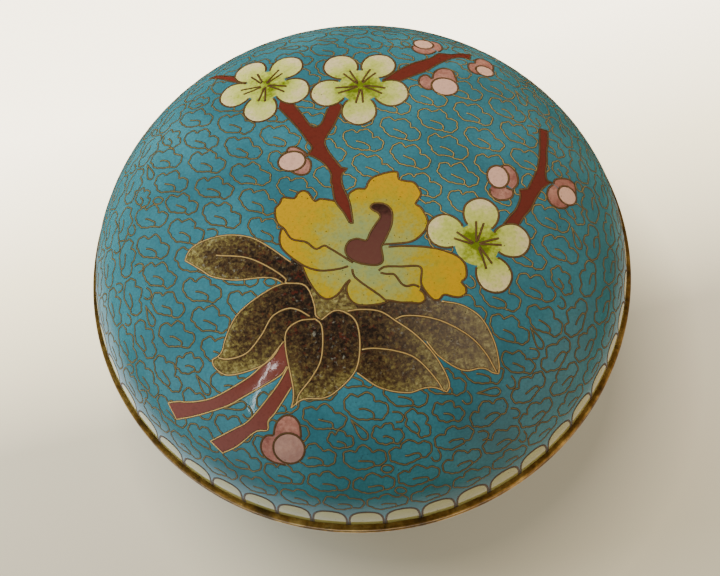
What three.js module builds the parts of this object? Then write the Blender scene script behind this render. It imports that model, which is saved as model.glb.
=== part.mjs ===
// Round covered box in cloisonne enamel: a footed bowl and a domed lid that lifts off,
// both of thin enamelled copper with upright sides, with gilt brass rims and foot ring.
// Millimetres, +Z up. The origin is the centre of the foot ring's underside.
import * as THREE from 'three';

// ---- driving dimensions -------------------------------------------------------
const SEGMENTS = 64;           // facets round every turned piece
const RIM_R = 60;              // outer radius of both gilt rims: the box is 120 across
const RIM_H = 1.4;             // height of each rim bead
const BODY_R = 58.8;           // outer radius of the enamelled bodies at their edges
const WALL = 1.6;              // copper sheet with enamel on both faces
const GAP = 0.3;               // air left between neighbouring pieces

const FOOT_R_OUT = 36.5;       // foot ring, outside, on the table
const FOOT_R_IN = 32;          // foot ring, inside, on the table
const FOOT_TAPER = 1;          // how far both faces of the foot lean in towards its top

const BOWL_BASE_Z = 2.5;       // lowest point of the bowl, in the middle, inside the foot
const BOWL_H = 27;             // height of the enamelled bowl

const COLLAR_R = 55.8;         // upright collar on the bowl's rim that guides the lid
const COLLAR_WALL = 1.2;
const COLLAR_H = 3.2;          // how far the collar stands above the bowl's rim bead

const LID_RIM_R_IN = 56.4;     // the lid's rim clears the collar
const LID_H = 27.7;            // rise of the dome above its rim

const ROUND = [2.9, 0.5];      // exponents of both bodies' outline: a flat middle, full shoulders

// ---- heights worked out from them ---------------------------------------------
const BOWL_TOP_Z = BOWL_BASE_Z + BOWL_H;
const BOWL_RIM_Z = BOWL_TOP_Z + GAP;
const LID_RIM_Z = BOWL_RIM_Z + RIM_H + GAP;
const LID_BASE_Z = LID_RIM_Z + RIM_H + GAP;

// ---- materials ----------------------------------------------------------------
const enamel = (color) => new THREE.MeshStandardMaterial({ color, roughness: 0.22, metalness: 0 });
const gilt = () => new THREE.MeshStandardMaterial({ color: '#94713a', roughness: 0.38, metalness: 1 });

// ---- outlines -----------------------------------------------------------------
// Height above the edge of a rounded cap of radius R and rise H at radius r.
const capHeight = (r, R, H, [p, q]) => H * (1 - (r / R) ** p) ** q;

// The same cap as points from the crown (on the axis) to the edge, closer together
// where the outline bends most.
function capPoints(R, H, [p, q], steps) {
  const points = [];
  for (let i = 0; i <= steps; i++) {
    const a = (i / steps) * (Math.PI / 2);
    points.push([R * Math.sin(a) ** (2 / p), H * Math.cos(a) ** (2 * q)]);
  }
  points[0][0] = 0;
  points[steps] = [R, 0];
  return points;
}

// Turns an outline of [radius, height] points round the Z axis into one closed solid.
// The outline runs counter-clockwise seen with the radius to the right, height up.
function turned(name, material, outline) {
  const points = outline.map(([r, z]) => new THREE.Vector2(r, z));
  const solid = new THREE.LatheGeometry(points, SEGMENTS).rotateX(Math.PI / 2);
  const mesh = new THREE.Mesh(solid, material);
  mesh.name = name;
  return mesh;
}

// ---- pieces -------------------------------------------------------------------
// Hollow dome, open below, from its gilt rim up to the crown.
function lidBody() {
  const outer = capPoints(BODY_R, LID_H, ROUND, 12);
  const inner = capPoints(BODY_R - WALL, LID_H - WALL, ROUND, 9);
  const outline = [...inner, ...outer.reverse()].map(([r, z]) => [r, LID_BASE_Z + z]);
  return turned('lid_body', enamel('#3f95a5'), outline);
}

// Gilt ring along the lid's lower edge, its outer face rounded.
function lidRim() {
  return turned('lid_rim', gilt(), bead(LID_RIM_R_IN, LID_RIM_Z));
}

// Outline of a rim bead from its inner radius out to RIM_R, closed on itself.
function bead(rIn, z) {
  const soft = 0.45;           // corner softening of the outer face
  return [
    [rIn, z], [RIM_R - soft, z], [RIM_R, z + soft],
    [RIM_R, z + RIM_H - soft], [RIM_R - soft, z + RIM_H], [rIn, z + RIM_H], [rIn, z],
  ];
}

// Hollow footed bowl, open above.
function bowlBody() {
  const outer = capPoints(BODY_R, BOWL_H, ROUND, 12);
  const inner = capPoints(BODY_R - WALL, BOWL_H - WALL, ROUND, 10);
  const outline = [...outer, ...inner.reverse()].map(([r, z]) => [r, BOWL_TOP_Z - z]);
  return turned('bowl_body', enamel('#3a8c9c'), outline);
}

// Gilt ring along the bowl's upper edge: a bead like the lid's, and inside it the
// upright collar that the lid drops over.
function bowlRim() {
  const soft = 0.45;
  const z = BOWL_RIM_Z;
  const collarIn = COLLAR_R - COLLAR_WALL;
  const collarTop = z + RIM_H + COLLAR_H;
  return turned('bowl_rim', gilt(), [
    [collarIn, z], [RIM_R - soft, z], [RIM_R, z + soft],
    [RIM_R, z + RIM_H - soft], [RIM_R - soft, z + RIM_H], [COLLAR_R, z + RIM_H],
    [COLLAR_R, collarTop - 0.3], [COLLAR_R - 0.3, collarTop], [collarIn, collarTop],
    [collarIn, z],
  ]);
}

// Low gilt ring that the bowl stands on. Its top follows the bowl's underside.
function footRing() {
  const rOut = FOOT_R_OUT - FOOT_TAPER;
  const rIn = FOOT_R_IN - FOOT_TAPER;
  const under = (r) => BOWL_TOP_Z - capHeight(r, BODY_R, BOWL_H, ROUND) - 2 * GAP;
  return turned('foot_ring', gilt(), [
    [FOOT_R_IN, 0], [FOOT_R_OUT - 0.4, 0], [FOOT_R_OUT, 0.4],
    [rOut, under(rOut) - 0.6], [rOut, under(rOut)], [rIn, under(rIn)], [FOOT_R_IN, 0],
  ]);
}

const box = new THREE.Group();
box.add(footRing(), bowlBody(), bowlRim(), lidRim(), lidBody());
export default box;
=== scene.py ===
"""Looks of a round cloisonne enamel box: a domed lid with a spray of flowers on a
ground of cloud scrolls, lifting off a footed bowl. All drawing is in millimetres on
a flat plan of each shell, whose polar radius is the distance along the shell from its
crown, and is laid on the shell as fine triangles in metres."""
import math
import random

import bpy
import numpy as np
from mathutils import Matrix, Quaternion, Vector
from mathutils.geometry import delaunay_2d_cdt


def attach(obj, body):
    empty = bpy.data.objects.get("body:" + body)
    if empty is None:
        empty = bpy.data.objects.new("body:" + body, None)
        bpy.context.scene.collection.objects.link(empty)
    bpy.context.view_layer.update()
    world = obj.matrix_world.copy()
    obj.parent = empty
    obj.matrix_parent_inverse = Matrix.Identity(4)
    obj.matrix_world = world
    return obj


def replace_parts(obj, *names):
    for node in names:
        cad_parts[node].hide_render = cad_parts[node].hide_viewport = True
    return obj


MM = 0.001
BODY = "root"

# ---- the solids, in mm ----
EDGE_R = 58.8  # outer radius of both enamelled shells at their edges
WALL = 1.6
ROUND = (2.9, 0.5)  # exponents of both shells' outline: a flat middle, full shoulders
LID_BASE_Z, LID_RISE = 32.85, 27.95
BOWL_TOP_Z, BOWL_DEPTH = 29.85, 27.3
RIM_R, RIM_H = 59.95, 1.4
BEAD_ROUND = 0.62  # how far in a rim's rounded outer face begins
RIM_R_IN = 56.4  # inner radius of the lid's rim, clear of the bowl's collar
LID_RIM_Z, BOWL_RIM_Z = 31.5, 29.8
COLLAR_R, COLLAR_R_IN, COLLAR_TOP_Z = 55.8, 54.6, 34.4
FOOT_R_OUT, FOOT_R_IN, FOOT_LEAN, FOOT_TOP_Z = 36.5, 32.0, 1.0, 5.75

# ---- drawing ----
CURVE_STEP = 0.55  # spacing of the points along a drawn curve
SCROLL_STEP = 0.36  # the same along a cloud or a filler
TOUCH = 0.08  # outline points nearer to each other than this are one
GRID_STEP = 1.25  # spacing of the enamel's inner points along a row
ROW_STEP = GRID_STEP * 0.87
EDGE_CLEAR = 0.6  # the inner points keep this far from a shell's edge
RIM_POINTS = 288  # points along that edge
SHARP_FROM = 40  # a turned piece's edges bent by more degrees than this are sharp
WIRE_H, WIRE_SINK = 0.05, 0.05
SEAM_LIFT = 0.014  # the dark line beside a wire lies this much above the enamel
LAPPETS = 49
LAPPET_H = 6.4
ALL_ROUND = np.arange(0, 6.2, 0.5)  # directions, in radians
BORDER_GAP = 0.3  # clouds keep this far from the lappets
SHIFT = 0.15  # steps, in mm, by which a cloud is moved to find room
FILLER_STEP = 0.8  # spacing of the spots where a small filler is tried
PAINTED_HIGHLIGHT_PLACE = (0.018, 0.01, 0.058)  # in metres, the middle of the painted highlight that makes the wires brightest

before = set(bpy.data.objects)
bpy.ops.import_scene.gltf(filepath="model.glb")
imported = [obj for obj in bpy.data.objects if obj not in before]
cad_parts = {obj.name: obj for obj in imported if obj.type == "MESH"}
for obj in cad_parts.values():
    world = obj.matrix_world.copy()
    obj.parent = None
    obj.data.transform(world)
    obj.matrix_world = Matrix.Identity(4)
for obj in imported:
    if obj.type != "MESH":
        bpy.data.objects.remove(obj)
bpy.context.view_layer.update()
random.seed(7)


# ---- curves on the plan ----
def smooth(points, closed=False, step=CURVE_STEP):
    """Points about step apart along a smooth curve through the given ones."""
    p = [np.array(q, float) for q in points]
    p = [p[-1], *p, p[0], p[1]] if closed else [2 * p[0] - p[1], *p, 2 * p[-1] - p[-2]]
    out = []
    for a, b, c, d in zip(p, p[1:], p[2:], p[3:]):
        ab, bc, cd = (max(np.linalg.norm(y - x), 1e-6) ** 0.5 for x, y in ((a, b), (b, c), (c, d)))
        start = ((b - a) / ab - (c - a) / (ab + bc) + (c - b) / bc) * bc
        end = ((c - b) / bc - (d - b) / (bc + cd) + (d - c) / cd) * bc
        count = max(1, round(bc * bc / step))
        for i in range(count):
            t = i / count
            out.append(b * (2 * t**3 - 3 * t**2 + 1) + c * (3 * t**2 - 2 * t**3)
                       + start * (t**3 - 2 * t**2 + t) + end * (t**3 - t**2))
    if not closed:
        out.append(p[-2])
    return np.array(out)


def joined(*parts):
    """Several dense curves end to end, as one closed outline without repeated points."""
    out = []
    for q in np.concatenate([np.asarray(part, float) for part in parts]):
        if not out or np.linalg.norm(q - out[-1]) > TOUCH:
            out.append(q)
    while np.linalg.norm(out[0] - out[-1]) < TOUCH:
        out.pop()
    return np.array(out)


def closing(outline):
    """An outline with its first point again at its end."""
    return np.concatenate([outline, outline[:1]])


def polar(radius, angle):
    return np.stack([radius * np.cos(angle), radius * np.sin(angle)], 1)


def turned_by(points, degrees):
    a = math.radians(degrees)
    return np.asarray(points, float) @ np.array([[math.cos(a), math.sin(a)], [-math.sin(a), math.cos(a)]])


def inside(points, outline):
    """Which of the points lie inside a closed outline."""
    x, y = points.T
    low, high = outline.min(0), outline.max(0)
    near = (x > low[0]) & (x < high[0]) & (y > low[1]) & (y < high[1])
    hit = np.zeros(len(points), bool)
    x, y = x[near], y[near]
    found = np.zeros(len(x), bool)
    if len(x):
        for (x0, y0), (x1, y1) in zip(outline, np.roll(outline, -1, 0)):
            if y0 != y1:
                found ^= ((y0 > y) != (y1 > y)) & (x < x0 + (y - y0) / (y1 - y0) * (x1 - x0))
    hit[near] = found
    return hit


def runs(keep):
    """Start and end of each unbroken run of true values."""
    edges = np.flatnonzero(np.diff(np.concatenate([[False], keep, [False]]).astype(int)))
    return list(zip(edges[::2], edges[1::2]))


def clipped(path, covers, least=1.0):
    """The parts of a path that no cover hides and that are at least so long, as open paths."""
    keep = np.ones(len(path), bool)
    for cover in covers:
        keep &= ~inside(path, cover)
    return [path[a:b] for a, b in runs(keep) if b - a > 2 and (b - a) * CURVE_STEP > least]


# ---- the shells' shape ----
class Shell:
    """A rounded cap read by the distance along it from its crown. side is 1 for a dome
    and -1 for a bowl, whose crown is its lowest point."""
    SAMPLES = 3000
    SLOPE_STEP = 0.05  # the slope is taken between points this far to either side

    def __init__(self, edge_r, rise, edge_z, side):
        p, q = ROUND
        r = edge_r * np.sin(np.linspace(0, math.pi / 2, self.SAMPLES)) ** (2 / p)
        z = rise * np.maximum(1 - (r / edge_r) ** p, 0) ** q
        self.r, self.z = r, edge_z + side * z
        self.s = np.concatenate([[0], np.cumsum(np.hypot(np.diff(r), np.diff(z)))])
        self.length, self.side = self.s[-1], side

    def outline(self, s):
        """Radius and height at the distances s."""
        return np.interp(s, self.s, self.r), np.interp(s, self.s, self.z)

    def at(self, plan, lift=0.0):
        """Positions, in mm, and outward normals of plan points raised by lift."""
        u, v = plan.T
        s = np.maximum(np.hypot(u, v), 1e-6)
        r, z = self.outline(s)
        near_r, near_z = self.outline(np.maximum(s - self.SLOPE_STEP, 0))
        far_r, far_z = self.outline(np.minimum(s + self.SLOPE_STEP, self.length))
        dr, dz = far_r - near_r, far_z - near_z
        size = np.maximum(np.hypot(dr, dz), 1e-9)
        out, up = -self.side * dz / size, self.side * dr / size
        normal = np.stack([u / s * out, v / s * out, up], 1)
        place = np.stack([u / s * r, v / s * r, z], 1)
        return place + normal * np.reshape(lift, (-1, 1)), normal

    def held(self, plan):
        """Plan points, with those beyond the shell's edge drawn back to it."""
        length = np.hypot(plan[:, 0], plan[:, 1])
        return plan * np.minimum(1, self.length / np.maximum(length, 1e-6))[:, None]


LID = Shell(EDGE_R, LID_RISE, LID_BASE_Z, 1)
BOWL = Shell(EDGE_R, BOWL_DEPTH, BOWL_TOP_Z, -1)


# ---- materials ----
def linear(rgb):
    """An 0-255 display colour as linear RGBA."""
    return (*((c / 255 / 12.92 if c <= 10 else ((c / 255 + 0.055) / 1.055) ** 2.4) for c in rgb), 1.0)


class Nodes:
    """Short calls for building the nodes of a material, or of the world."""

    def __init__(self, owner, coordinates="Object"):
        owner.use_nodes = True
        self.owner, self.tree = owner, owner.node_tree
        self.where = self.add("TexCoord").outputs[coordinates]

    @classmethod
    def of_material(cls, name):
        n = cls(bpy.data.materials.new(name))
        n.shader = n.tree.nodes["Principled BSDF"]
        return n

    def add(self, kind, *values, **settings):
        """A node with its first inputs put to the values."""
        node = self.tree.nodes.new("ShaderNode" + kind)
        for key, value in settings.items():
            setattr(node, key, value)
        for value, socket in zip(values, node.inputs):
            self.put(value, socket)
        return node

    def put(self, value, socket):
        """Links another node's output to a socket, or sets its value."""
        if isinstance(value, bpy.types.NodeSocket):
            self.tree.links.new(value, socket)
        else:
            socket.default_value = value

    def noise(self, size_mm, detail=2.0, roughness=0.5):
        node = self.add("TexNoise", self.where)
        for name, value in (("Scale", 1 / (size_mm * MM)), ("Detail", detail), ("Roughness", roughness)):
            node.inputs[name].default_value = value
        return node.outputs["Fac"]

    def grains(self, size_mm):
        """The distance from the nearest of some scattered points, and a number of its own for each."""
        node = self.add("TexVoronoi", self.where, feature="F1")
        node.inputs["Scale"].default_value = 1 / (size_mm * MM)
        return node.outputs["Distance"], self.add("SeparateColor", node.outputs["Color"]).outputs[0]

    def dots(self, size_mm, radius, share):
        """1 inside small scattered dots. share is how many of the dots are there."""
        distance, own = self.grains(size_mm)
        chosen = self.spread(own, share, share - 0.02, 0, 1)
        return self.math("MULTIPLY", self.spread(distance, radius, radius * 0.5, 0, 1), chosen)

    def axes(self):
        return self.add("SeparateXYZ", self.where).outputs

    def away(self, point):
        """The distance from a point, in metres."""
        return self.add("VectorMath", self.where, point, operation="DISTANCE").outputs["Value"]

    def tone(self):
        return self.add("Attribute", attribute_name="tone").outputs["Fac"]

    def math(self, operation, *values):
        return self.add("Math", *values, operation=operation).outputs[0]

    def spread(self, value, low, high, to_low, to_high):
        """value from low..high mapped on to_low..to_high, kept within them."""
        return self.add("MapRange", value, low, high, to_low, to_high).outputs[0]

    def mix(self, factor, *colours):
        """From one colour to another. A colour is a socket, an 0-255 colour or linear RGBA."""
        node = self.add("Mix", factor, data_type="RGBA")
        for colour, socket in zip(colours, node.inputs[6:8]):
            self.put(linear(colour) if isinstance(colour, tuple) and len(colour) == 3 else colour, socket)
        return node.outputs[2]

    def ramp(self, value, *stops):
        """stops are (position, 0-255 colour)."""
        node = self.add("ValToRGB", value)
        elements = node.color_ramp.elements
        while len(elements) < len(stops):
            elements.new(0.5)
        for element, (position, colour) in zip(elements, stops):
            element.position, element.color = position, linear(colour)
        return node.outputs[0]

    def bump(self, value, height_mm):
        node = self.add("Bump")
        node.inputs["Distance"].default_value = height_mm * MM
        self.put(value, node.inputs["Height"])
        self.put(node.outputs[0], self.shader.inputs["Normal"])

    def finish(self, colour, roughness, metallic=0.0, **sockets):
        self.put(colour, self.shader.inputs["Base Color"])
        self.put(roughness, self.shader.inputs["Roughness"])
        self.shader.inputs["Metallic"].default_value = metallic
        for name, value in sockets.items():
            self.shader.inputs[name.replace("_", " ")].default_value = value
        return self.owner


def glaze(n, colour, pits=0.35, pit_colour=(40, 34, 26)):
    """Finishes an enamel: pinholes, a slightly uneven polish and faint ripples."""
    pinholes = n.dots(1.4, 0.12, pits)
    colour = n.mix(n.math("MULTIPLY", pinholes, 0.8), colour, pit_colour)
    n.bump(n.math("ADD", n.noise(4.5), n.math("MULTIPLY", pinholes, -0.4)), 0.05)
    polish = n.spread(n.noise(2.6, 3.0), 0.3, 0.7, 0.04, 0.1)
    return n.finish(colour, polish, IOR=1.5, Specular_IOR_Level=0.32)


def ground_enamel(name, low, high):
    """Opaque turquoise between two shades, in soft clouds with a fine grain."""
    n = Nodes.of_material(name)
    colour = n.mix(n.spread(n.noise(16), 0.35, 0.65, 0, 1), low, high)
    grain = n.spread(n.noise(0.55, 3.0), 0.35, 0.75, 0, 0.4)
    colour = n.mix(grain, colour, tuple(c * 0.7 for c in low))
    pale = n.spread(n.noise(1.1, 4.0, 0.7), 0.6, 0.8, 0, 0.22)
    return glaze(n, n.mix(pale, colour, tuple(min(255, c * 1.2 + 14) for c in high)))


def toned_enamel(name, *stops, grain=0.12, grain_colour=(120, 105, 60), wander=0.12, pits=0.35):
    """Enamel shaded by the mesh's tone through the stops, its shading wandering a little."""
    n = Nodes.of_material(name)
    shift = n.math("ADD", n.spread(n.noise(3.2, 3.0), 0.25, 0.75, -wander, wander),
                   n.spread(n.noise(0.7, 3.0, 0.6), 0.3, 0.7, -wander * 0.5, wander * 0.5))
    colour = n.ramp(n.math("ADD", n.tone(), shift), *stops)
    speck = n.spread(n.noise(0.6, 4.0, 0.6), 0.5, 0.75, 0, grain)
    return glaze(n, n.mix(speck, colour, grain_colour), pits)


def leaf_enamel(name):
    """Coarse grains of mixed enamel: near black and red by the leaf's base, olive at its edge,
    with grey patches and a painted sheen towards the right."""
    n = Nodes.of_material(name)
    level = n.math("ADD", n.spread(n.noise(0.95, 5.0, 0.75), 0.32, 0.68, -0.05, 0.55),
                   n.spread(n.grains(0.5)[1], 0, 1, -0.13, 0.17))
    level = n.math("ADD", level, n.math("MULTIPLY", n.math("SUBTRACT", n.tone(), 0.34), 0.6))
    colour = n.ramp(level, (0.0, (32, 24, 16)), (0.22, (60, 43, 28)), (0.44, (86, 66, 38)),
                    (0.68, (122, 106, 54)), (1.0, (172, 158, 96)))
    red = n.math("MULTIPLY", n.spread(n.noise(1.3, 4.0, 0.7), 0.56, 0.65, 0, 0.6),
                 n.spread(n.tone(), 0.15, 0.7, 1, 0))
    colour = n.mix(red, colour, (104, 40, 26))
    grey = n.math("MULTIPLY", n.spread(n.noise(1.0, 4.0, 0.7), 0.6, 0.68, 0, 0.7),
                  n.spread(n.noise(9, 1.0), 0.42, 0.58, 0, 1))
    colour = n.mix(grey, colour, (146, 142, 122))
    # Painted sheen: the leaves are mixed towards grey further to the right.
    painted_sheen = n.spread(n.axes()[0], 0.002, 0.02, 0, 0.3)
    return glaze(n, n.mix(painted_sheen, colour, (140, 126, 110)), 0.9, (14, 11, 8))


def wire_brass(name, bright, dull, smoothest, roughest):
    """Brass wire, bright and smooth near the crown and browned further out: the brightness is a painted
    highlight, broken up by patches of wear.
    """
    n = Nodes.of_material(name)
    # Painted highlight: the brass is brighter round one spot near the crown, with noise added for wear.
    painted_highlight = n.spread(n.away(PAINTED_HIGHLIGHT_PLACE), 0.042, 0.014, 0, 1)
    highlight_and_wear = n.math("ADD", painted_highlight, n.spread(n.noise(1.6, 3.0, 0.6), 0.3, 0.7, -0.25, 0.25))
    colour = n.mix(n.spread(highlight_and_wear, 0, 1, 0, 1), dull, bright)
    return n.finish(colour, n.spread(highlight_and_wear, 0, 1, roughest, smoothest), 0.35)


def grime_and_shade(name, pale, dark):
    """The dark line where a wire meets the enamel: grime in the joint, and painted shade along the wire's
    edges.
    """
    # Partly painted shade: this dark strip shows on both sides of every wire.
    n = Nodes.of_material(name)
    return n.finish(n.mix(n.spread(n.noise(1.2, 4.0), 0.35, 0.65, 0, 1), pale, dark), 0.55)


def gilt(name):
    """Gilded brass of the rims and foot: worn bright in patches, olive and brown in others."""
    n = Nodes.of_material(name)
    wear = n.spread(n.noise(5.5, 5.0, 0.6), 0.36, 0.64, 0, 1)
    scratch = n.spread(n.noise(0.7, 3.0), 0.35, 0.7, 0, 0.4)
    colour = n.ramp(wear, (0.0, (104, 78, 36)), (0.45, (158, 118, 50)), (1.0, (206, 166, 84)))
    colour = n.mix(scratch, colour, (54, 38, 16))
    spots = n.spread(n.noise(1.8, 5.0, 0.7), 0.58, 0.68, 0, 0.8)
    colour = n.mix(spots, colour, (52, 44, 24))
    n.bump(n.noise(1.2, 4.0), 0.03)
    return n.finish(colour, n.spread(wear, 0, 1, 0.5, 0.32), 0.85)


# ---- meshes ----
def add_object(name, data):
    thing = bpy.data.objects.new(name, data)
    bpy.context.scene.collection.objects.link(thing)
    return thing


def add_mesh(name, points_mm, faces, material, normals=None):
    mesh = bpy.data.meshes.new(name)
    mesh.from_pydata((np.asarray(points_mm) * MM).tolist(), [], faces)
    mesh.polygons.foreach_set("use_smooth", [True] * len(mesh.polygons))
    if normals is not None:
        mesh.normals_split_custom_set_from_vertices(np.asarray(normals).tolist())
    mesh.materials.append(material)
    mesh.update()
    piece = add_object(name, mesh)
    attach(piece, BODY)
    return piece


def turned(name, outline, material, around=256, closed=True):
    """A piece turned round the box's axis from a [radius, height] outline that runs
    anticlockwise with the radius to the right."""
    outline = np.asarray(outline, float)
    count = len(outline)
    points, faces = [], []
    for i in range(around):
        a = 2 * math.pi * i / around
        points += [(r * math.cos(a), r * math.sin(a), z) for r, z in outline]
        here, there = i * count, (i + 1) % around * count
        for j in range(count if closed else count - 1):
            k = (j + 1) % count
            faces.append((here + j, there + j, there + k, here + k))
    piece = add_mesh(name, points, faces, material)
    piece.data.set_sharp_from_angle(angle=math.radians(SHARP_FROM))
    return piece


class Cell:
    """One field of enamel. A later cell covers an earlier one where they meet. edges are the
    parts of its outline that have a wire; without them the whole outline has."""

    def __init__(self, group, outline, tone=None, edges=None, wire="flower"):
        self.group, self.tone, self.wire = group, tone, wire
        self.edges = [closing(outline)] if edges is None else edges
        area = np.cross(outline, np.roll(outline, -1, 0)).sum()
        self.outline = outline[::-1] if area < 0 else outline


def triangulated(shell, cells):
    """A shell's plan cut along the cells' outlines, as points and as triangles, each with the
    number of its uppermost cell, from 1, or 0 on the bare ground."""
    rim = polar(shell.length, np.arange(RIM_POINTS) * 2 * math.pi / RIM_POINTS)
    points, faces = [tuple(p) for p in rim], [list(range(RIM_POINTS))]
    for cell in cells:
        faces.append(list(range(len(points), len(points) + len(cell.outline))))
        points += [tuple(p) for p in cell.outline]
    rows = int(shell.length / ROW_STEP) + 1
    for j in range(-rows, rows + 1):
        for i in range(-rows, rows + 1):
            u, v = GRID_STEP * (i + 0.5 * (j % 2)), ROW_STEP * j
            if 0 < math.hypot(u, v) < shell.length - EDGE_CLEAR:
                points.append((u, v))
    made = delaunay_2d_cdt([Vector(p) for p in points], [], faces, 1, 1e-4, True)
    plan = shell.held(np.array([tuple(p) for p in made[0]], float))
    return plan, [(face, max(owners)) for face, owners in zip(made[2], made[5])]


def lay_enamel(shell, side, cells):
    """Makes one piece of a shell's surface for each group of cells, the ground among them,
    each with its tone, and returns them by group."""
    plan, triangles = triangulated(shell, cells)
    place, normal = shell.at(plan)
    groups = {}
    for face, top in triangles:
        groups.setdefault(cells[top - 1].group if top else "ground", []).append((face, top))
    pieces = {}
    for group, members in groups.items():
        used = sorted({(i, top) for face, top in members for i in face})
        index = {key: k for k, key in enumerate(used)}
        where = [i for i, _ in used]
        faces = [[index[i, top] for i in face[::shell.side]] for face, top in members]
        piece = add_mesh(f"{side}_{group}", place[where], faces, enamels[group],
                         normal[where])
        tone = np.zeros(len(used), np.float32)
        for k, (i, top) in enumerate(used):
            if top and cells[top - 1].tone:
                tone[k] = cells[top - 1].tone(*plan[i])
        piece.data.attributes.new("tone", "FLOAT", "POINT").data.foreach_set("value", tone)
        corners = np.array([where[loop.vertex_index] for loop in piece.data.loops])
        layer = piece.data.uv_layers.new(name="OFBake")
        layer.data.foreach_set("uv", (plan[corners] / (2 * shell.length) + 0.5).ravel().astype(np.float32))
        pieces[group] = piece
    return pieces


def lay_ribbon(name, shell, paths, profile, material):
    """Narrow strips along the paths, each with a section of (across, lift) points."""
    points, faces = [], []
    count = len(profile)
    for path in paths:
        closed = np.linalg.norm(path[0] - path[-1]) < TOUCH / 2 and len(path) > 6
        line = path[:-1] if closed else path
        if closed:
            along = np.roll(line, -1, 0) - np.roll(line, 1, 0)
        else:
            along = np.concatenate([line[1:], line[-1:]]) - np.concatenate([line[:1], line[:-1]])
        along /= np.maximum(np.linalg.norm(along, axis=1), 1e-9)[:, None]
        side = np.stack([along[:, 1], -along[:, 0]], 1)
        rings = [shell.at(shell.held(line + side * across), lift)[0] for across, lift in profile]
        start, steps = len(points), len(line)
        for i in range(steps):
            points += [ring[i] for ring in rings]
        for i in range(steps if closed else steps - 1):
            a, b = start + i * count, start + (i + 1) % steps * count
            faces += [(a + j, a + j + 1, b + j + 1, b + j)[::shell.side] for j in range(count - 1)]
        if not closed and count > 2:
            first = tuple(range(start, start + count))
            last = tuple(range(start + (steps - 1) * count, start + steps * count))
            faces += [first[::-shell.side], last[::shell.side]]
    add_mesh(name, points, faces, material)


def lay_wires(shell, side, kind, paths):
    """Wires ground flush and a hair proud of the enamel, each on the dark line that edges it."""
    width, seam = WIRES[kind][:2]
    roof = ((-width / 2, -WIRE_SINK), (-width / 5, WIRE_H), (width / 5, WIRE_H), (width / 2, -WIRE_SINK))
    line = ((-seam / 2, SEAM_LIFT), (seam / 2, SEAM_LIFT))
    lay_ribbon(f"{side}_{kind}_wires", shell, paths, roof, brass[kind])
    lay_ribbon(f"{side}_{kind}_seams", shell, paths, line, seams[kind])


# ---- cloud scrolls ----
# One wire: from the curl inside, round the foot, up over the three lobes, and back.
CLOUD = [(-1.4, -0.6), (-0.5, -0.5), (1, -0.6), (2, -1), (2.1, -1.9), (0.7, -2.2), (-0.7, -2.5),
         (-2.3, -2.3), (-3.5, -1.5), (-4.5, -0.9), (-4.8, 0.2), (-4.5, 1.2), (-3.7, 1.8), (-2.7, 1.8),
         (-2, 1.5), (-1.5, 2.1), (-0.7, 2.75), (0.4, 2.75), (1.4, 2.2), (2, 1.4), (2.9, 1.5), (3.9, 1.4),
         (4.8, 0.8), (5, -0.3), (4.4, -1.4), (3.5, -1.9), (2.2, -1.9)]
CLOUD_W, CLOUD_H = 9.8, 5.2  # its size as drawn
CURL = 5.6  # how much of it, in mm, is the plain curl before the scallops
DROP = [(-2.6, 0.1), (-1.2, 0.35), (0.4, 0.75), (1.8, 0.8), (2.5, 0), (1.8, -0.75), (0.4, -0.7),
        (-1.2, -0.2), (-2.6, 0.1)]
BEAN = [(-1.3, 0), (-0.8, 0.75), (0.4, 0.8), (1.3, 0.1), (0.8, -0.7), (-0.5, -0.75), (-1.3, 0)]
HOOK = [(-1.2, 0.9), (0.3, 1), (1.2, 0.3), (0.9, -0.7), (-0.2, -1)]


def cloud(width, height, wobble=0.13, pitch=1.7, depth=0.2):
    """A cloud scroll about its middle, its outline bent into small scallops."""
    drawn = [(x / CLOUD_W * width + random.uniform(-wobble, wobble),
              y / CLOUD_H * height + random.uniform(-wobble, wobble)) for x, y in CLOUD]
    line = smooth(drawn, step=SCROLL_STEP)
    along = np.gradient(line, axis=0)
    steps = np.linalg.norm(along, axis=1)
    way = np.cumsum(steps)
    outward = np.stack([-along[:, 1], along[:, 0]], 1) / steps[:, None]
    curl = CURL * width / CLOUD_W
    bulge = np.abs(np.sin(math.pi * (way - curl) / pitch)) - 0.6
    return line + outward * (depth * bulge * (way > curl))[:, None]


def ring_of_clouds(radius, width, height, shift=0.0, facing=0.0):
    """Sites end to end round a ring, their clouds' lobes towards the crown, or away at 180."""
    count = round(2 * math.pi * radius / (width + 0.7))
    for i in range(count):
        azimuth = 2 * math.pi * (i + shift) / count

        def bent(size, du, dv, azimuth=azimuth):
            local = turned_by(cloud(width * size, height * size), random.uniform(-4, 4) + facing)
            return polar(radius - local[:, 1] - dv, azimuth + (local[:, 0] + du) / radius)
        yield bent


def rows_of_clouds(reach):
    """Sites in staggered rows, whose clouds lean down to the right and level out in front."""
    first, along, between = np.array([-29.9, 16.6]), np.array([8.06, 1.61]), np.array([1.27, -6.83])
    for j in range(-9, 10):
        for i in range(-9, 10):
            middle = first + along * i + between * j
            lean = -28 + 22 * min(1, max(0, (-middle[1] - 26) / 22))

            def leaning(size, du, dv, middle=middle, lean=lean):
                shape = cloud(8.8 * size, 5.1 * size * random.uniform(0.97, 1.06))
                return turned_by(shape, lean + random.uniform(-5, 5)) + middle + (du, dv)
            if math.hypot(*middle) < reach:
                yield leaning


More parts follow.
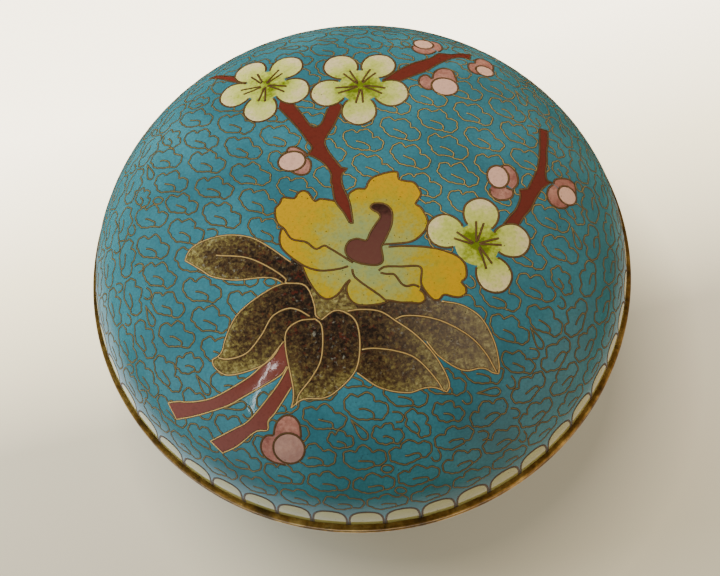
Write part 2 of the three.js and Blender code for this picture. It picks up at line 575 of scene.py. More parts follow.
class Room:
    """A shell's plan as a fine grid: where covers hide a wire, and where other wires lie."""
    STEP = 0.12

    def __init__(self, shell, covers):
        self.reach = shell.length - LAPPET_H - BORDER_GAP
        self.count = int(2 * self.reach / self.STEP) + 2
        self.hidden = np.zeros((self.count, self.count), bool)
        self.taken = self.hidden.copy()
        for cover in covers:
            self.fill(self.hidden, cover)

    def index(self, points):
        return tuple(np.clip(((points + self.reach) / self.STEP).astype(int), 0, self.count - 1).T)

    def fill(self, grid, outline):
        (i0, i1), (j0, j1) = self.index(np.array([outline.min(0), outline.max(0)]))
        spots = np.mgrid[i0:i1 + 1, j0:j1 + 1].reshape(2, -1).T
        found = inside((spots + 0.5) * self.STEP - self.reach, outline)
        grid[tuple(spots[found].T)] = True

    def is_free(self, spot, *grids):
        return not any(grid[self.index(spot[None])][0] for grid in grids)

    def lay(self, path, least, margin):
        """The visible runs of a path that touches nothing, or none if it doesn't fit. least is
        the share of it that has to be visible, margin what it keeps clear round itself."""
        seen = ~self.hidden[self.index(path)] & (np.hypot(*path.T) < self.reach)
        if seen.mean() < least or (seen & self.taken[self.index(path)]).any():
            return []
        self.fill(self.taken, path)
        self.taken[self.index(path)] = True
        for offset in (*polar(margin, ALL_ROUND), *polar(margin * 0.5, ALL_ROUND)):
            self.taken[self.index(path + offset)] = True
        return [path[a:b] for a, b in runs(seen) if b - a > 4]


def lay_clouds(room, sites):
    """A cloud at each site, as large and as near its place as fits there."""
    turns = np.arange(2, 13)
    shifts = [(0, 0), *polar(SHIFT * turns, 2.4 * turns)]
    laid = []
    for site in sites:
        tries = (site(size, *shift) for size in (1, 0.93, 0.86) for shift in shifts)
        laid += next(filter(None, (room.lay(shape, 0.3, 0.62) for shape in tries)), [])
    return laid


def fill_gaps(room):
    """Small clouds, drops, hooks and beans in what room is left between the clouds."""
    steps = int(room.reach / FILLER_STEP)
    spots = [np.array([i * FILLER_STEP, j * FILLER_STEP])
             for i in range(-steps, steps) for j in range(-steps, steps)]
    spots = [spot for spot in spots if room.is_free(spot, room.hidden, room.taken)]
    random.shuffle(spots)
    leans = [random.uniform(-75, 20) for _ in range(9)]
    fillers = [([cloud(6.4, 4.3, 0.1, 1.9, 0.3) for _ in leans], 0.7, 0.45),
               ([cloud(5.3, 3.7, 0.08, 1.7, 0.25) for _ in leans], 0.8, 0.45),
               *(([smooth(points, step=SCROLL_STEP)] * len(leans), least, margin)
                 for points, least, margin in ((DROP, 0.9, 0.55), (HOOK, 1, 0.75), (BEAN, 1, 0.75)))]
    laid = []
    for upright, least, margin in fillers:
        shapes = [turned_by(shape, lean) for shape, lean in zip(upright, leans)]
        for k, spot in enumerate(spots):
            if room.is_free(spot, room.taken):
                for shape in (shapes[k % len(shapes)], shapes[(k + 4) % len(shapes)]):
                    laid += room.lay(shape + spot, least, margin)
    return laid


# ---- borders ----
def lappets(shell, first):
    """The row of round-topped tongues along a shell's edge, from an azimuth in degrees on."""
    middle_r = shell.length - 2  # the ring on which their width is measured
    half = math.pi / LAPPETS * middle_r - 0.35
    rise = [(1, 0), (1.01, 2.2), (0.98, 3.8), (0.86, 5.2), (0.55, 6.1)]
    shape = [(-half * x, y) for x, y in rise] + [(0, LAPPET_H)] + [(half * x, y) for x, y in rise[::-1]]
    across, up = smooth(shape, step=0.7).T

    def tone(u, v):
        return (shell.length - math.hypot(u, v)) / LAPPET_H

    for i in range(LAPPETS):
        azimuth = math.radians(first + 360 / LAPPETS * (i + 0.5))
        tongue = polar(shell.length - 0.02 - up, azimuth + across / middle_r)
        yield Cell("lappets", tongue, tone, [tongue], "border")


# ---- the spray of flowers on the lid ----
# Plum blossoms: the middle and the petals' tips.
BLOSSOMS = [
    ((-18, 41), [(-28.8, 39.4), (-23.6, 50.4), (-10.2, 48.8), (-8.2, 36.2), (-19.8, 30.2)]),
    ((3.6, 37.2), [(-2.6, 47.2), (10.6, 46.4), (13.9, 33), (2.4, 26.2), (-7.6, 35.2)]),
    ((25.1, -4.7), [(15.2, 0.6), (27.6, 6), (36.8, -3.4), (29.6, -15.2)]),
]
PETAL_HALF = 3.75  # half a petal's width
# A petal's half outline as shares of its reach and of PETAL_HALF, from its tip inwards.
PETAL = [(0.94, 0.55), (0.79, 0.95), (0.6, 1), (0.42, 0.78), (0.3, 0.36)]

# The big yellow flower, back petals first: (wired edge, points that close it under the rest).
FLOWER = [
    ([(-12.2, -5.9), (-10.8, -10), (-8.8, -13.4), (-7.4, -14.3), (-5.8, -14), (-4.4, -12.9),
      (-3.3, -11.4), (-2.2, -10.5)],
     [(-1.6, -8.2), (-2.4, -6), (-9, -5)]),
    ([(-2.2, -10.7), (-3, -11.8), (-3.1, -13.4), (-2.4, -15.1), (-1, -16.2), (3.7, -16.4), (5.9, -15.8)],
     [(4.8, -14), (2, -10), (-1.3, -6.5)]),
    ([(-1.6, -8.2), (-1.3, -9.8), (3.7, -14.6), (4.8, -15.7), (5.9, -15.9), (7.6, -16.4), (9.8, -16.6),
      (12, -16.9), (13, -16.2), (12.8, -14.8), (12, -14)],
     [(12.4, -12.6), (13, -7), (4, -5)]),
    ([(6.4, -3.9), (9.8, -4), (16.7, -5.2), (20.9, -7.3), (22.1, -9), (22, -11.9), (20.9, -12.9),
      (21.7, -14), (21.6, -15.4), (20.3, -16.1), (18.7, -15.9), (17, -15.4), (15.9, -16.4), (14.8, -16.4),
      (12.5, -12.8), (12.7, -9.1), (8.7, -8.6), (5, -8.4), (3.9, -9.1)], [(1.5, -5), (3, -3)]),
    ([(-1.3, 7.9), (-0.9, 9.3), (0.9, 10.3), (2.7, 10.2), (3.2, 11.3), (4.5, 12.7), (9.8, 13.5),
      (10, 11.8), (11.7, 11.1), (13.1, 10.7), (14.4, 7.9), (13.7, 6.5), (13, 5.6), (14.1, 4.5),
      (15.2, 1.3), (14.5, -0.7), (11.7, -3), (5.3, -3.3)], [(1, -5), (-0.9, 2.3)]),
    ([(-15.6, 2.9), (-16.2, 1.6), (-16.2, -1.5), (-12, -6.1), (-8.6, -7.8), (-4.4, -7.9), (-2.4, -7.5)],
     [(-0.5, -5), (-6, 0)]),
    ([(-4.1, 7.9), (-7.2, 8.7), (-8.3, 8.3), (-9.7, 10.6), (-10.9, 11.1), (-12, 10.4), (-12.6, 9.5),
      (-15.2, 9.9), (-15.9, 8.6), (-16.9, 7.5), (-16.6, 4), (-15.4, 2.7), (-13.8, 0), (-10.8, -1.1),
      (-8.8, -2.9), (-7, -2.3), (-6.1, -2.9), (-1.3, -6.8)], [(0, -3), (-0.8, 2.3)]),
]
FOLDS = [[(4.2, -9.6), (5.6, -10), (7, -10.2), (8.5, -12.5), (9.5, -13), (10.9, -12.8), (12, -13.4)]]
PISTIL = [(3.4, 5.6), (3.9, 6.3), (5.3, 6.4), (6.7, 5.9), (7.7, 4.6), (7.8, 2.7), (7.3, 0.7), (6.4, -1.2),
          (5.6, -2.6), (4.9, -3.7), (5, -5.7), (4.8, -7.3), (3.7, -7.8), (2, -7.6), (-0.2, -6.9),
          (-1.9, -5.8), (-2.7, -3.9), (-1.9, -2), (-0.2, -1.4), (1.9, -2), (2.8, -0.4), (4.2, 1.6),
          (5.3, 3.2), (4.8, 4.3), (3.9, 4.9)]

# Leaves, back ones first: (wired edges, points that close the base after the first of them,
# midrib, where the tone starts and ends, how light it starts).
LEAVES = [
    ([[(-37.4, -1.2), (-36.4, 0.7), (-34.4, 2), (-28.9, 2.9), (-23.3, 1.8), (-20, -0.2), (-14.3, -5.3)],
      [(-16.4, -9.6), (-17.8, -8.6), (-20, -8), (-26.7, -7.6), (-31.7, -5.9), (-33.6, -4.3),
       (-37.4, -1.2)]],
     [(-14.3, -4.6), (-12, -5), (-9, -9), (-10.6, -12), (-13, -11)],
     [(-30.3, -1.4), (-22.8, -3.4), (-15.6, -9.1), (-15.8, -9.7)], (-14, -7), (-36.5, -1), 0),
    ([[(27.3, -32.5), (25.9, -32.2), (24.8, -31.5), (23.4, -31.2), (19.8, -31.5), (14.8, -28.3),
       (12.5, -25.1)],
      [(16.4, -16.8), (20.4, -17.8), (23.7, -20), (25.1, -21.9), (26.9, -26.4), (27.5, -31.1),
       (27.3, -32.5)]],
     [(6, -22), (-1, -18), (-2, -14), (14, -13)],
     [(6.5, -19.9), (7.9, -19.4), (11.8, -19.7), (16.2, -21.1), (21.8, -24.7), (24.8, -28.3),
      (26.8, -32.2)], (8, -17), (26.5, -31), 0.3),
    ([[(15.9, -35.7), (13.2, -34.6), (11.2, -34.6), (7.9, -35.3), (2, -33.8), (-2.4, -30.4)],
      [(-3.2, -17.3), (-1, -17.2), (3.4, -18), (6.5, -20.3), (10.4, -23.6), (14.6, -29.2), (16.5, -34.4),
       (15.9, -35.7)]], [(-5, -26), (-5, -20)],
     [(-1, -25.7), (0.9, -25.6), (5.7, -26.5), (9.8, -28.3), (14, -33.3), (15.2, -35.6)], (0, -22),
     (15.5, -34), 0.2),
    ([[(-15.8, -9.8), (-18.3, -10.4), (-26.4, -15.2), (-29.7, -20.4), (-30.4, -22.3), (-31.5, -23.4),
       (-32.9, -23.9)],
      [(-32.9, -23.9), (-32.8, -25.1), (-30.3, -27.5), (-22.8, -26.9), (-20.8, -25.9), (-17.1, -22.3)],
      [(-8.8, -18.6), (-9.9, -17.6), (-10, -15.7), (-11.1, -11.6), (-12.2, -10.5), (-15.8, -9.8)]], [],
     [(-31.5, -23.7), (-29.7, -24.3), (-25.3, -23.7), (-21.7, -20.4), (-18.9, -16.6), (-15.6, -15.4),
      (-13.6, -15.9), (-11.2, -17.6)], (-12, -15), (-31, -25), 0.05),
    ([[(-10, -18.3), (-13.6, -18.4), (-16.4, -20.4), (-16, -32.9), (-16.4, -35.1), (-16.9, -36.1)],
      [(-16.9, -36.1), (-14.4, -34.7), (-9.7, -34.8), (-7.5, -34), (-2.4, -29.3), (-1.7, -19.8),
       (-4.4, -17.2), (-6.1, -17), (-8.8, -18.6)]], [],
     [(-10, -18.4), (-9, -19.6), (-9.6, -26.8), (-11.9, -30.4), (-15, -33.7), (-15.7, -35.7)], (-9, -21),
     (-13, -36), 0.1),
]
KHAKI = [(-10.5, -11), (-3, -11), (0.5, -14.5), (-1, -18.6), (-8.8, -19.5), (-10.3, -17)]

# Branches: closed outlines, clockwise from one end.
TRUNK = [
    [(-1.3, 2.4), (-2.4, 5), (-4, 7.9), (-4.4, 11.8), (-4.6, 12.3), (-4.4, 14.3), (-5.8, 17.2),
     (-7.9, 19.1)],
    [(-9.2, 19.8), (-8.1, 21.4), (-9.2, 23.5), (-10.4, 26), (-15, 33.3)],
    [(-14.5, 36), (-12, 36), (-11.5, 33.9), (-10, 31), (-7.5, 26.8), (-6, 27.2), (-4, 31.4)],
    [(-3, 33), (-1, 32), (-2.7, 27.2), (-5.2, 22.7), (-4.6, 20.2), (-2.1, 15.8)],
    [(-0.8, 15.4), (-2.1, 13.9), (-2.2, 11.8), (-1, 7.4), (-0.6, 2.3)],
]
BRANCHES = [
    [[(-33, 50.9), (-31, 50.6), (-27.5, 48.3), (-24.6, 46.2), (-22.1, 43.9)],
     [(-23.3, 43.5), (-26.2, 45.2), (-29.2, 47.9), (-32.1, 50.2)]],
    [[(8.6, 38.3), (14.9, 43), (20.8, 46.1), (22.7, 48), (25.8, 48.2), (28.6, 49.3), (31, 49.7)],
     [(30.2, 47.2), (27.4, 47.2), (21.9, 43.6), (19.1, 41.1), (16.3, 39.7), (13, 38), (8, 36)]],
    [[(45.7, 25.4), (45.1, 22.2), (44.1, 18.9), (43.7, 16.1), (42.9, 13.3), (42.9, 11.1), (44.1, 10.8)],
     [(41.4, 8.9), (39.6, 6.4), (37.9, 3.6), (35.9, 1.4), (34.6, -0.6)],
     [(29.8, -1.4), (30.9, -0.6), (32.9, 1.7), (34.6, 3.6), (35.9, 6.4), (35.9, 8.2)],
     [(37.9, 8.6), (40.7, 13.6), (41.8, 16.7), (43.6, 25.6)]],
    [[(-46, -31.3), (-43, -31.4), (-40.3, -31.9), (-36.7, -32.1), (-33.3, -31.7), (-25, -28.6),
      (-22.2, -26.8), (-19.7, -25.3), (-17.5, -22.6)], [(-14, -22), (-14, -27.5)],
     [(-16.9, -27.5), (-18, -28.9), (-26.9, -32.6), (-30.6, -33.9), (-38.9, -35.1), (-44.8, -35.3)]],
    [[(-36.9, -41.2), (-30, -39), (-26.9, -37.9), (-19.2, -31.1), (-16.6, -27.6)],
     [(-14, -27), (-14, -31)],
     [(-16, -31.5), (-20.6, -36.9), (-22.2, -38.3), (-22.6, -40.1), (-25, -40.1), (-30.6, -43),
      (-34.6, -44.2)]],
]

# Buds: the white petal as (middle, half width, half height, lean), and its two pink sepals,
# each by the outer edge that shows round it.
BUDS = [
    ((-12.7, 18.6, 3, 2.45, 5),
     [(-13.8, 21), (-13.2, 22.1), (-11.9, 22.2), (-9.5, 20.2), (-9.3, 19.2)],
     [(-9.3, 19), (-8.6, 18), (-9, 15.6), (-10.2, 14.9), (-11.8, 15.2), (-13, 16.1)]),
    ((19.6, 52, 2.4, 2.25, 0),
     [(16.9, 51), (16.6, 49.6), (17.5, 48), (19.3, 47.3), (21.1, 47.8), (22.2, 49)],
     [(21.8, 54), (23.2, 53.6), (24, 52), (23.9, 50.2), (22.8, 48.8)]),
    ((33.2, 42.9, 2.2, 2.1, 0),
     [(31.2, 45.5), (31.7, 47.3), (33.2, 48.6), (35, 48.2), (36, 46.4), (35.3, 43)],
     [(31, 45.6), (29.8, 45.2), (29.2, 43.8), (29.4, 42.2), (30.6, 41.2), (31.8, 41.2)]),
    ((22.6, 36, 3.05, 2.75, -5),
     [(20, 38.4), (20.5, 40.2), (21.8, 41.7), (23.4, 42.2), (24.9, 41.5), (25.7, 37.6)],
     [(19.9, 38.4), (18.7, 39.7), (17.5, 39.2), (16.8, 37.7), (17.2, 36.1), (18.6, 35), (19.7, 35.2)]),
    ((31.5, 11.3, 2.4, 2.8, 0),
     [(29.4, 8.4), (29.3, 7), (30.4, 5.8), (32.4, 5.6), (34, 6.3), (34.4, 7.8), (33, 8.6)],
     [(32.6, 14), (34, 14.4), (35.4, 13.2), (36, 11.4), (35.6, 9.4), (34.4, 8.2)]),
    ((47.5, 7.9, 2.4, 2.4, 0),
     [(44.3, 10.4), (45, 11.6), (48.5, 12.3), (50, 11.3), (49.9, 8.2)],
     [(44.2, 10.2), (42.9, 9), (42.3, 7.2), (42.7, 5.5), (44.3, 4.5), (46.4, 4.6), (47.4, 5.4)]),
    ((-18.6, -44.6, 3.5, 3.35, -15),
     [(-21.5, -41.4), (-20.9, -39.6), (-19.8, -38.2), (-18.3, -37.5), (-16.7, -37.9), (-15.6, -39.4),
      (-15.6, -43)],
     [(-21.6, -41.4), (-23.2, -41.3), (-24.5, -42.6), (-24.9, -44.3), (-24.3, -45.9), (-22.8, -47.2),
      (-20, -48.2)]),
]

# The spray is drawn about its own middle, and then turned, shrunk and moved to its place.
SPRAY_TURN, SPRAY_SIZE, SPRAY_SHIFT = -1.5, 0.962, np.array([0.1, -5.25])


def petal(centre, tip):
    """A round petal from near a blossom's centre out to its tip."""
    reach = np.linalg.norm(tip - centre)
    along = (tip - centre) / reach
    side = np.array([-along[1], along[0]]) * PETAL_HALF
    shape = [(0.06, 0), *((x, -y) for x, y in PETAL[::-1]), (1, 0), *PETAL]
    return smooth([centre + along * reach * x + side * y for x, y in shape], closed=True)


def blossom(centre, tips):
    """The petals of a plum blossom and its stamens."""
    centre, tips = np.array(centre, float), np.array(tips, float)
    heart = smooth(centre + polar(4.7, ALL_ROUND), closed=True)
    outlines = [petal(centre, tip) for tip in tips]

    def tone(u, v):
        return math.hypot(u - centre[0], v - centre[1]) / 11

    cells = [Cell("blossoms", heart, tone, [])]
    for k, outline in enumerate(outlines):
        others = [heart] + outlines[:k] + outlines[k + 1:]
        cells.append(Cell("blossoms", outline, tone, clipped(closing(outline), others, 0.4)))
    stamens = []
    for du, dv in tips - centre:
        for off in (-9, 9):
            start, end = random.uniform(0.5, 1.3), random.uniform(5, 5.8)
            stamen = smooth([(start, 0.1), (end / 2, 0.12), (end, 0)])
            stamens.append(turned_by(stamen, math.degrees(math.atan2(dv, du)) + off) + centre)
    return cells, stamens


def placed(points):
    """Points of the spray where they lie on the lid's plan."""
    return turned_by(points, SPRAY_TURN) * SPRAY_SIZE + SPRAY_SHIFT


def place_cell(cell):
    cell.outline = placed(cell.outline)
    cell.edges = [placed(edge) for edge in cell.edges]
    if cell.tone:
        drawn = cell.tone
        cell.tone = lambda u, v: drawn(*turned_by((np.array([u, v]) - SPRAY_SHIFT) / SPRAY_SIZE, -SPRAY_TURN))
    return cell


def oval(u, v, half_w, half_h, lean):
    ring = polar(1, np.arange(16) * math.pi / 8) * (half_w, half_h)
    return smooth(turned_by(ring, lean) + (u, v), closed=True)


def flower_tone(u, v):
    """0 by the pistil, where the glaze is greyish, to 1 at the petals' orange-yellow ends."""
    du, dv = u - 1.5, v + 3
    reach = 17.0 if du < 0 else 20.5 - 6 * max(0.0, dv) / (abs(du) + abs(dv) + 1e-6)
    if dv < 0 and du < 8:
        reach += 4.5 * min(1.0, -dv / 9)
    return math.hypot(du, dv) / reach


def leaf_tone(base, tip, outline, pale):
    """pale by the leaf's base, rising towards its tip and its edge, and 1 at most."""
    base, along = np.array(base, float), np.array(tip, float) - np.array(base, float)

    def tone(u, v):
        spot = np.array([u, v])
        reach = min(1.0, max(0.0, float((spot - base) @ along) / float(along @ along)))
        edge = 1 - min(1.0, np.linalg.norm(outline - spot, axis=1).min() / 3.2)
        return min(1.0, pale + (0.72 - pale / 2) * reach + edge * (0.1 + 0.5 * reach))
    return tone


def spray():
    """Every cell of the spray, back to front, and its loose wires by kind."""
    cells, loose = [], {"flower": [], "leaf": []}

    def add_blossom(centre, tips):
        petals, stamens = blossom(centre, tips)
        cells.extend(petals)
        loose["flower"] += stamens

    for k, parts in enumerate(BRANCHES):
        is_stem = k > 2  # the two cut stems in front are purplish, with bright wires
        cells.append(Cell("branches", joined(*map(smooth, parts)), lambda u, v, tone=is_stem: tone,
                          wire="leaf" if is_stem else "flower"))
    add_blossom(*BLOSSOMS[2])
    cells.append(Cell("leaves", joined(smooth(KHAKI, closed=True)), lambda u, v: 0.95, []))
    ribs = []
    for edges, close, rib, base, tip, pale in LEAVES:
        edges = [smooth(edge) for edge in edges]
        outline = joined(edges[0], close or edges[1][:1], *edges[1:])
        cells.append(Cell("leaves", outline, leaf_tone(base, tip, outline, pale), edges, "leaf"))
        ribs.append((smooth(rib), len(cells)))
    cells.append(Cell("flower", oval(1, -4, 6, 4.5, -20), flower_tone, []))
    for edge, close in FLOWER:
        line = smooth(edge)
        cells.append(Cell("flower", joined(line, close), flower_tone, [line]))
    cells.append(Cell("pistil", smooth(PISTIL, closed=True), lambda u, v: (v + 8) / 14))
    cells.append(Cell("branches", joined(*map(smooth, TRUNK))))
    for sketch in BLOSSOMS[:2]:
        add_blossom(*sketch)
    for white, *sepals in BUDS:
        for edge in map(smooth, sepals):
            cells.append(Cell("sepals", joined(edge, [white[:2]]), lambda u, v: 0.5, [edge]))
        cells.append(Cell("buds", oval(*white), lambda u, v: min(1, 0.8 + v / 75)))
    for rib, level in ribs:
        loose["leaf"] += clipped(rib, [c.outline for c in cells[level:] if c.group != "branches"])
    loose["flower"] += map(smooth, FOLDS)
    return list(map(place_cell, cells)), {kind: list(map(placed, paths)) for kind, paths in loose.items()}


def visible_wires(cells, wires):
    """wires by kind, with each cell's edge added where no later cell covers it. The petals
    of a blossom are clipped by one another before."""
    for k, cell in enumerate(cells):
        covers = [c.outline for c in cells[k + 1:] if not c.group == cell.group == "blossoms"]
        for edge in cell.edges:
            wires.setdefault(cell.wire, []).extend(clipped(edge, covers, 0.3))
    return wires


# ---- building ----
# Each kind of wire: its width and its dark line's, its brass in the painted highlight and dull, how rough
# these are, and the dark line's two shades.
WIRES = {
    "cloud": (0.34, 0.46, (196, 166, 96), (130, 110, 66), 0.38, 0.6, (58, 56, 34), (40, 48, 34)),
    "flower": (0.34, 0.46, (134, 100, 52), (104, 74, 36), 0.38, 0.6, (86, 54, 22), (60, 38, 18)),
    "leaf": (0.34, 0.48, (238, 196, 116), (222, 180, 102), 0.25, 0.45, (92, 64, 26), (52, 36, 16)),
    "border": (0.36, 0.56, (132, 98, 44), (96, 74, 40), 0.38, 0.6, (84, 58, 26), (52, 40, 24)),
}
brass = {kind: wire_brass(f"{kind}_wire", *looks[2:6]) for kind, looks in WIRES.items()}
seams = {kind: grime_and_shade(f"{kind}_seam", *looks[6:]) for kind, looks in WIRES.items()}
gold = gilt("gilt_brass")
enamels = {
    "lappets": toned_enamel("lappet_cream", (0, (150, 146, 84)), (0.5, (172, 168, 102)),
                            (1, (184, 180, 116)), wander=0.2),
    "blossoms": toned_enamel("blossom_white", (0.08, (104, 116, 14)), (0.26, (158, 166, 40)),
                             (0.44, (198, 200, 84)), (0.72, (218, 212, 112)), (0.98, (238, 212, 152)),
                             wander=0.26, grain=0.5, grain_colour=(154, 160, 62)),
    "flower": toned_enamel("flower_yellow", (0.2, (148, 158, 96)), (0.42, (168, 162, 78)),
                           (0.66, (184, 156, 28)), (0.95, (206, 156, 0)),
                           wander=0.2, grain=0.4, grain_colour=(116, 104, 30), pits=1.0),
    "pistil": toned_enamel("pistil_maroon", (0, (106, 62, 50)), (0.8, (94, 52, 44)), (1, (52, 26, 18))),
    "branches": toned_enamel("branch_red", (0.1, (112, 44, 30)), (0.9, (122, 62, 50)),
                             grain=0.35, grain_colour=(70, 18, 10)),
    "buds": toned_enamel("bud_white", (0.1, (160, 118, 104)), (0.8, (236, 182, 152)),
                         grain=0.4, grain_colour=(170, 110, 90)),
    "sepals": toned_enamel("bud_pink", (0, (140, 78, 66)), (1, (196, 136, 114)),
                           wander=0.5, grain=0.5, grain_colour=(112, 72, 52)),
    "leaves": leaf_enamel("leaf_mixed"),
}


def build_lid():
    cells, loose = spray()
    cells += lappets(LID, -98.2)
    enamels["ground"] = ground_enamel("turquoise_lid", (54, 111, 120), (67, 131, 141))
    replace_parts(lay_enamel(LID, "lid", cells)["ground"], "lid_body")
    wires = visible_wires(cells, loose)
    room = Room(LID, [cell.outline for cell in cells])
    clouds = []
    for radius, height, shift in ((62.5, 4.4, 0), (57.3, 4.7, 0.5), (52.1, 4.9, 0)):
        clouds += lay_clouds(room, ring_of_clouds(radius, 9.0, height, shift))
    clouds += lay_clouds(room, rows_of_clouds(50))
    clouds += fill_gaps(room)
    lay_wires(LID, "lid", "cloud", clouds)
    for kind in ("flower", "leaf", "border"):
        lay_wires(LID, "lid", kind, wires[kind])


def build_bowl():
    cells = list(lappets(BOWL, -93))
    enamels["ground"] = ground_enamel("turquoise_bowl", (47, 107, 116), (58, 125, 136))
    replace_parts(lay_enamel(BOWL, "bowl", cells)["ground"], "bowl_body")
    foot_s = float(np.interp(FOOT_R_OUT, BOWL.r, BOWL.s)) + 0.5
    room = Room(BOWL, [polar(foot_s, np.linspace(0, 2 * math.pi, 90))])
    rows = int((room.reach - foot_s) / 5.2)
    clouds = []
    for i in range(rows):
        radius = room.reach - (room.reach - foot_s) / rows * (i + 0.5)
        real = float(BOWL.outline(radius)[0])
        clouds += lay_clouds(room, ring_of_clouds(radius, 8.6 * radius / real, 4.5, 0.5 * (i % 2), 180))
    lay_wires(BOWL, "bowl", "cloud", clouds)
    lay_wires(BOWL, "bowl", "border", [edge for cell in cells for edge in cell.edges])


def inside_of(rise, edge_z, side):
    """The inner face of a shell from its middle to its edge, and the turned-over edge."""
    inner = Shell(EDGE_R - WALL, rise - WALL, edge_z, side)
    line = np.stack(inner.outline(np.linspace(0.02, inner.length, 60)), 1)
    return np.concatenate([line, [[EDGE_R - 0.05, edge_z]]])


def build_insides():
    turquoise = ground_enamel("turquoise_inside", (40, 118, 126), (60, 136, 142))
    for side, outline in (("lid", inside_of(LID_RISE, LID_BASE_Z, 1)),
                          ("bowl", inside_of(BOWL_DEPTH, BOWL_TOP_Z, -1)[::-1])):
        turned(f"{side}_inside", outline, turquoise, 128, closed=False)


def bead(r_in, z):
    """A rim's outline with a well rounded outer face."""
    h = RIM_H / 2
    arc = [(RIM_R - BEAD_ROUND + BEAD_ROUND * math.cos(a), z + h + h * math.sin(a))
           for a in np.linspace(-1.571, 1.571, 11)]
    return [(r_in, z), *arc, (r_in, z + RIM_H)]


def build_metal():
    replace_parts(turned("lid_rim_bead", bead(RIM_R_IN, LID_RIM_Z), gold), "lid_rim")
    collar = [(COLLAR_R_IN, BOWL_RIM_Z), *bead(COLLAR_R, BOWL_RIM_Z)[1:],
              (COLLAR_R, COLLAR_TOP_Z - 0.3), (COLLAR_R - 0.3, COLLAR_TOP_Z), (COLLAR_R_IN, COLLAR_TOP_Z)]
    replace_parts(turned("bowl_rim_collar", collar, gold), "bowl_rim")
    foot = [(FOOT_R_IN, 0), (FOOT_R_OUT - 0.4, 0), (FOOT_R_OUT - 0.12, 0.12), (FOOT_R_OUT, 0.4),
            (FOOT_R_OUT - FOOT_LEAN, FOOT_TOP_Z), (FOOT_R_IN - FOOT_LEAN, FOOT_TOP_Z - 1)]
    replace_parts(turned("foot_ring_gilt", foot, gold), "foot_ring")


# ---- floor, light and camera, in metres ----
def build_stage():
    """A floor that glows with painted light, near white behind the box and greyer in front of it, with a
    painted shadow close to it, and a far backdrop all round that goes on from it."""
    n = Nodes.of_material("glowing_floor")
    x, y, _ = n.axes()
    # Painted light: the floor's glow fades from near white behind the box to grey in front of it.
    painted_falloff = n.math("SUBTRACT", n.math("MULTIPLY", x, 0.12), y)
    glow = n.ramp(n.spread(painted_falloff, -0.09, 0.09, 0, 1), (0.1, (255, 241, 212)), (0.33, (203, 189, 154)),
                  (0.58, (116, 107, 88)), (0.72, (108, 99, 80)), (0.87, (98, 90, 70)))
    n.put(glow, n.shader.inputs["Emission Color"])
    # Painted shadow: the glow is weaker close round the box.
    n.put(n.spread(n.away((0.008, -0.01, 0)), 0.05, 0.072, 1.5, 4.8), n.shader.inputs["Emission Strength"])
    material = n.finish(n.mix(n.noise(60), (160, 156, 142), (166, 161, 147)), 0.75)
    bpy.ops.mesh.primitive_plane_add(size=8)
    floor = bpy.context.object
    floor.name = "floor"
    bpy.ops.mesh.primitive_cylinder_add(vertices=128, radius=3.9, depth=6, end_fill_type="NOTHING")
    backdrop = bpy.context.object
    backdrop.name = "backdrop"
    backdrop.visible_diffuse = False
    for piece in (floor, backdrop):
        piece.data.materials.append(material)
        piece.visible_glossy = False


KEY = Vector((-0.65, 0.42, 0.63)).normalized()  # the way to where the soft light comes from
COOL, WARM = (0.9, 0.98, 1.06, 1), (1.0, 0.86, 0.74, 1)
TABLE = 1.9  # strength of the pale table, mirrored low in the sides but not behind
# The room as the enamel mirrors it: soft patches of (direction, where its edge begins and where
# it is full as cosines, strength), on a dim ground.
ROOM_DIM = 0.06
ROOM = [(KEY, 0.5, 0.98, 0.12), ((0.7, 0.35, 0.6), 0.5, 0.95, 0.3),
        ((-0.8, -0.48, 0.22), 0.76, 0.97, 0.8), ((0.78, -0.58, 0.14), 0.76, 0.95, 0.9)]


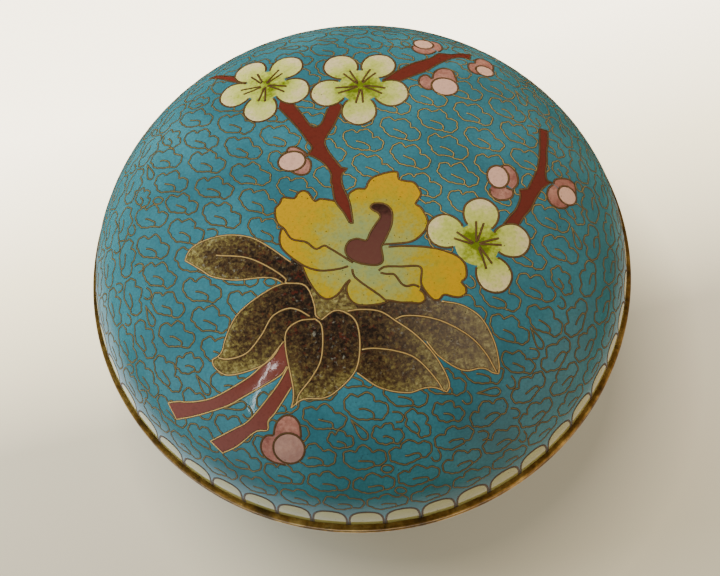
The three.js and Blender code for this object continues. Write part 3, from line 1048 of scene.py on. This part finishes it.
def build_room():
    """The surroundings, cool on the left and warm on the right."""
    world = bpy.data.worlds.new("studio")
    bpy.context.scene.world = world
    n = Nodes(world, "Generated")
    x, y, z = n.axes()
    low = n.spread(z, -0.25, -0.55, 0, TABLE)
    front, left = n.spread(y, 0.5, 0.2, 0, 1), n.spread(x, 1.4, -0.6, 0, 1)
    total = n.math("MULTIPLY_ADD", n.math("MULTIPLY", low, left), front, ROOM_DIM)
    for direction, edge, full, strength in ROOM:
        towards = n.add("VectorMath", n.where, Vector(direction).normalized(), operation="DOT_PRODUCT")
        total = n.math("ADD", total, n.spread(towards.outputs["Value"], edge, full, 0, strength))
    back = n.tree.nodes["Background"]
    n.put(total, back.inputs["Strength"])
    n.put(n.mix(n.spread(x, -0.3, 0.4, 0, 1), COOL, WARM), back.inputs["Color"])


def aim(name, data, place, target, turn):
    """Adds a light or a camera at its place, aimed at a target and turned about its own axis."""
    thing = add_object(name, data)
    thing.location = place
    facing = (Vector(target) - Vector(place)).to_track_quat("-Z", "Y")
    thing.rotation_euler = (facing @ Quaternion((0, 0, 1), math.radians(turn))).to_euler()
    return thing


def add_light(name, place, target, size, watts, colour, glossy=False, turn=0):
    data = bpy.data.lights.new(name, "AREA")
    data.shape, data.size, data.size_y = "RECTANGLE", *size
    data.energy, data.color = watts, colour
    aim(name, data, place, target, turn).visible_glossy = glossy


def build_lights():
    """A wide soft light from the left, a weaker warm one from the right, and a narrow bright
    window, the only one of them that the enamel mirrors."""
    add_light("key", KEY * 1.1, (0, 0, 0.03), (0.8, 0.8), 15.8, (0.9, 1.0, 1.06))
    add_light("fill", (0.8, 0.15, 0.7), (0, 0, 0.03), (0.8, 0.8), 3.1, (1.0, 0.87, 0.7))
    add_light("window", (-0.6, -0.38, 1.0), (0, 0, 0.05), (0.012, 0.62), 0.9, (1.0, 0.99, 0.97), True, 19)


def build_camera():
    """The camera stands nearly above the box, a little in front of it, and rolled."""
    data = bpy.data.cameras.new("camera")
    data.sensor_width, data.lens = 36, 70.32
    data.clip_start, data.clip_end = 0.01, 20
    place, target = Vector((0.0, -127.03, 319.44)) * MM, Vector((-0.561, -5.088, 31.5)) * MM
    bpy.context.scene.camera = aim("camera", data, place, target, -6.806)


build_lid()
build_bowl()
build_insides()
build_metal()
build_stage()
build_room()
build_lights()
build_camera()
